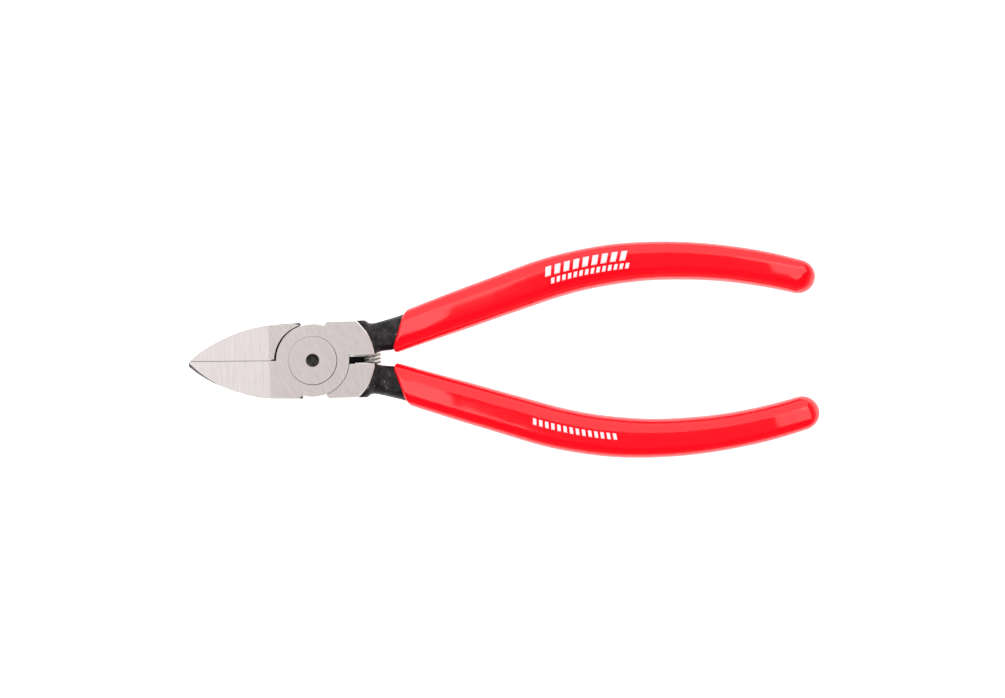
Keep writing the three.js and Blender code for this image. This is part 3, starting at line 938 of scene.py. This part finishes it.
def build_grip(side, sizes, finishes):
    """A dipped grip: a rounded lip at the slanted mouth, a swelling body and a domed end."""
    lip = sizes.lip
    mouth = -0.25 * MM
    sunk = 0.12 * MM
    rings = [grip_ring(side, sizes, mouth + 3 * MM, drop=lip + sunk, square=1)]
    for i in range(9):
        angle = math.pi / 2 * i / 8
        place = mouth + lip * (1 - math.cos(angle))
        drop = lip * (1 - math.sin(angle)) + (sunk if i == 0 else 0)
        rings.append(grip_ring(side, sizes, place, drop=drop, square=1 - i / 8))
    dome = at_station(GRIP_HALF_WIDTHS, SPINE_LENGTH) * 1.02
    start = mouth + lip
    body = SPINE_LENGTH - dome - start
    rings += [grip_ring(side, sizes, start + body * i / 90) for i in range(1, 91)]
    for i in range(1, 25):
        angle = math.pi / 2 * i / 24
        place = SPINE_LENGTH - dome + dome * math.sin(angle)
        rings.append(grip_ring(side, sizes, place, share=max(math.cos(angle), 1e-6)))
    name = ("upper" if side == FRONT else "lower") + "_vinyl_grip"
    grip = from_rings(name, rings)
    grip.data.materials.append(dipped_vinyl(finishes.red_vinyl))
    for face in grip.data.polygons:
        face.use_smooth = True
    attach(grip, BODIES[side])
    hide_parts(GRIP_NODES[side])
    return grip


def print_patch(sizes, start, end, low, high, slant):
    """The corners of one printed bar on top of a grip, as a grid that follows its surface."""
    rows = []
    for i in range(5):
        offset = low + (high - low) * i / 4
        row = []
        for j in range(5):
            distance = start + (end - start) * j / 4 + slant * (offset - low)
            width = at_station(GRIP_HALF_WIDTHS, distance)
            depth = at_station(GRIP_HALF_DEPTHS, distance)
            power = sizes.outer_roundness if offset > 0 else sizes.inner_roundness
            height = depth * (1 - abs(offset / width) ** power) ** (1 / power)
            row.append((distance, offset, height))
        rows.append(row)
    return rows


def build_print(side, sizes, finishes):
    """Plain printed rows of slanted bars, each bar a thin closed film."""
    name = ("upper" if side == FRONT else "lower") + "_grip_print"
    mesh = bpy.data.meshes.new(name)
    bm = bmesh.new()
    film = 0.03 * MM
    for start, end, low, high, slant in PRINTED_BARS[side]:
        rows = print_patch(sizes, start * MM, end * MM, low * MM, high * MM, slant)
        top, base = (
            [[bm.verts.new(grip_point(side, place, offset, side * (height + lift)))
              for place, offset, height in row] for row in rows]
            for lift in (film, -film))
        for i in range(4):
            for j in range(4):
                bm.faces.new((top[i][j], top[i][j + 1], top[i + 1][j + 1], top[i + 1][j]))
                bm.faces.new((base[i][j], base[i + 1][j], base[i + 1][j + 1], base[i][j + 1]))
        rim = ([(0, j) for j in range(4)] + [(i, 4) for i in range(4)]
               + [(4, 4 - j) for j in range(4)] + [(4 - i, 0) for i in range(4)])
        for (i, j), (k, m) in zip(rim, rim[1:] + rim[:1]):
            bm.faces.new((top[i][j], top[k][m], base[k][m], base[i][j]))
    bmesh.ops.recalc_face_normals(bm, faces=bm.faces)
    bm.to_mesh(mesh)
    bm.free()
    piece = bpy.data.objects.new(name, mesh)
    bpy.context.scene.collection.objects.link(piece)
    piece.data.materials.append(pad_print_ink(finishes.print_ink))
    for face in piece.data.polygons:
        face.use_smooth = face.normal.z > 0.5
    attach(piece, BODIES[side])
    return piece


# Stage

def add_panel(name, azimuth, polar, width, height, radiance, distance=0.9, glossy=True):
    """A soft panel that faces the tool, placed by its direction from +X and its angle off the
    vertical, in degrees. Only a glossy panel shows as a highlight."""
    centre = (FRAME_BOX[0] + FRAME_BOX[1]) / 2
    azimuth, polar = math.radians(azimuth), math.radians(polar)
    direction = Vector((math.cos(azimuth) * math.sin(polar), math.sin(azimuth) * math.sin(polar),
                        math.cos(polar)))
    light = bpy.data.lights.new(name, "AREA")
    light.shape = "RECTANGLE"
    light.size, light.size_y = width, height
    light.energy = radiance * width * height * math.pi
    panel = bpy.data.objects.new(name, light)
    panel.location = centre + direction * distance
    panel.rotation_euler = direction.to_track_quat("Z", "Y").to_euler()
    panel.visible_glossy = glossy
    panel.visible_camera = False
    bpy.context.scene.collection.objects.link(panel)
    return panel


def build_stage(stage):
    """The camera above the tool, the pale floor, the panels and a dim room that is paler low down."""
    scene = bpy.context.scene
    scene.view_settings.view_transform = "Standard"
    centre = (FRAME_BOX[0] + FRAME_BOX[1]) / 2
    top = FRAME_BOX[1].z

    camera = bpy.data.objects.new("top_camera", bpy.data.cameras.new("top_camera"))
    camera.data.sensor_width = 0.036 / MM
    camera.data.lens = camera.data.sensor_width * stage.camera_height / stage.view_width
    camera.data.clip_end = 10
    camera.location = (48.39 * MM, 1.36 * MM, top + stage.camera_height)
    camera.rotation_euler = (0, 0, -stage.roll)
    scene.collection.objects.link(camera)
    scene.camera = camera

    reach = 1.5
    corners = ((-1, -1), (1, -1), (1, 1), (-1, 1))
    floor = from_rings("pale_floor", [
        [(centre.x + x * reach, y * reach, HEAD_BOTTOM + z) for x, y in corners]
        for z in (-2 * MM, -0.05 * MM)])
    material, tree, shader = new_material(
        "white_sweep", Roughness=0.9, Emission_Strength=stage.floor_glow)
    shader.inputs["Base Color"].default_value = linear("#F4F4F4")
    shader.inputs["Emission Color"].default_value = (1, 1, 1, 1)
    floor.data.materials.append(material)

    radiance = stage.panel_radiance
    add_panel("far_panel", 90, 46, 2.0, 1.13, 0.56 * radiance)
    add_panel("left_panel", 176, 22, 0.46, 0.62, 0.95 * radiance)
    add_panel("right_panel", 14, 36, 0.5, 0.85, 0.8 * radiance)
    add_panel("near_fill", 270, 58, 1.2, 1.0, 1.3, distance=1.2, glossy=False)
    add_panel("overhead_fill", 0, 0, 1.2, 1.2, stage.fill_radiance, distance=1.6, glossy=False)

    world = bpy.data.worlds.new("pale_room")
    world.use_nodes = True
    tree = world.node_tree
    background = tree.nodes["Background"]
    background.inputs["Color"].default_value = (1, 1, 1, 1)
    coordinates = add_node(tree, "ShaderNodeTexCoord")
    height = add_node(tree, "ShaderNodeSeparateXYZ", {"Vector": coordinates.outputs["Generated"]})
    walls = add_node(tree, "ShaderNodeMapRange",
                     {"Value": height.outputs["Z"], "From Min": 0.1, "From Max": 0.42,
                      "To Min": 0.6, "To Max": 0.0})
    ceiling = add_node(tree, "ShaderNodeMapRange",
                       {"Value": height.outputs["Z"], "From Min": 0.55, "From Max": 0.9,
                        "To Min": 0.02, "To Max": 0.0})
    room = add_node(tree, "ShaderNodeMath", {0: walls.outputs[0], 1: ceiling.outputs[0]},
                    operation="ADD")
    tree.links.new(room.outputs[0], background.inputs["Strength"])
    scene.world = world


class NIPPERS_OT_arms(bpy.types.Operator):
    """Builds the two forged and ground arms of the lap joint"""
    bl_idname = "nippers.arms"
    bl_label = "Arms"

    def execute(self, context):
        scene = context.scene
        for side in (FRONT, BACK):
            build_arm(side, scene.nippers_head, scene.nippers_finishes)
        return {"FINISHED"}


class NIPPERS_OT_rivet(bpy.types.Operator):
    """Builds the flush rivet that the arms turn on"""
    bl_idname = "nippers.rivet"
    bl_label = "Rivet"

    def execute(self, context):
        build_rivet(context.scene.nippers_head, context.scene.nippers_finishes)
        return {"FINISHED"}


class NIPPERS_OT_spring(bpy.types.Operator):
    """Builds the coil spring that opens the handles"""
    bl_idname = "nippers.spring"
    bl_label = "Opening spring"

    def execute(self, context):
        build_spring(context.scene.nippers_spring, context.scene.nippers_finishes)
        return {"FINISHED"}


class NIPPERS_OT_grips(bpy.types.Operator):
    """Builds the two dipped vinyl grips and their plain printed bars"""
    bl_idname = "nippers.grips"
    bl_label = "Grips"

    def execute(self, context):
        scene = context.scene
        for side in (FRONT, BACK):
            build_grip(side, scene.nippers_grip, scene.nippers_finishes)
            build_print(side, scene.nippers_grip, scene.nippers_finishes)
        return {"FINISHED"}


class NIPPERS_OT_stage(bpy.types.Operator):
    """Sets up the pale floor, the soft panels, the room and the camera"""
    bl_idname = "nippers.stage"
    bl_label = "Stage"

    def execute(self, context):
        build_stage(context.scene.nippers_stage)
        return {"FINISHED"}


class NIPPERS_PT_sidebar(bpy.types.Panel):
    """Lists the parts of the nippers and their sizes"""
    bl_idname = "NIPPERS_PT_sidebar"
    bl_label = "Sprue nippers"
    bl_space_type = "VIEW_3D"
    bl_region_type = "UI"
    bl_category = "Nippers"

    def draw(self, context):
        for operator in OPERATORS:
            self.layout.operator(operator.bl_idname)
        for name in SETTINGS:
            box = self.layout.box()
            settings = getattr(context.scene, name)
            for key in settings.bl_rna.properties.keys():
                if key not in ("rna_type", "name"):
                    box.prop(settings, key)


SETTINGS = {
    "nippers_head": NippersHeadSizes,
    "nippers_grip": NippersGripSizes,
    "nippers_spring": NippersSpringSizes,
    "nippers_finishes": NippersFinishes,
    "nippers_stage": NippersStage,
}
OPERATORS = (NIPPERS_OT_stage, NIPPERS_OT_arms, NIPPERS_OT_rivet, NIPPERS_OT_spring, NIPPERS_OT_grips)
CLASSES = (*SETTINGS.values(), *OPERATORS, NIPPERS_PT_sidebar)


def register():
    for cls in CLASSES:
        bpy.utils.register_class(cls)
    for name, group in SETTINGS.items():
        setattr(bpy.types.Scene, name, bpy.props.PointerProperty(type=group))


def unregister():
    for name in SETTINGS:
        delattr(bpy.types.Scene, name)
    for cls in reversed(CLASSES):
        bpy.utils.unregister_class(cls)


def main():
    register()
    bpy.ops.nippers.stage()
    bpy.ops.nippers.arms()
    bpy.ops.nippers.rivet()
    bpy.ops.nippers.spring()
    bpy.ops.nippers.grips()


if __name__ == "__main__":
    main()
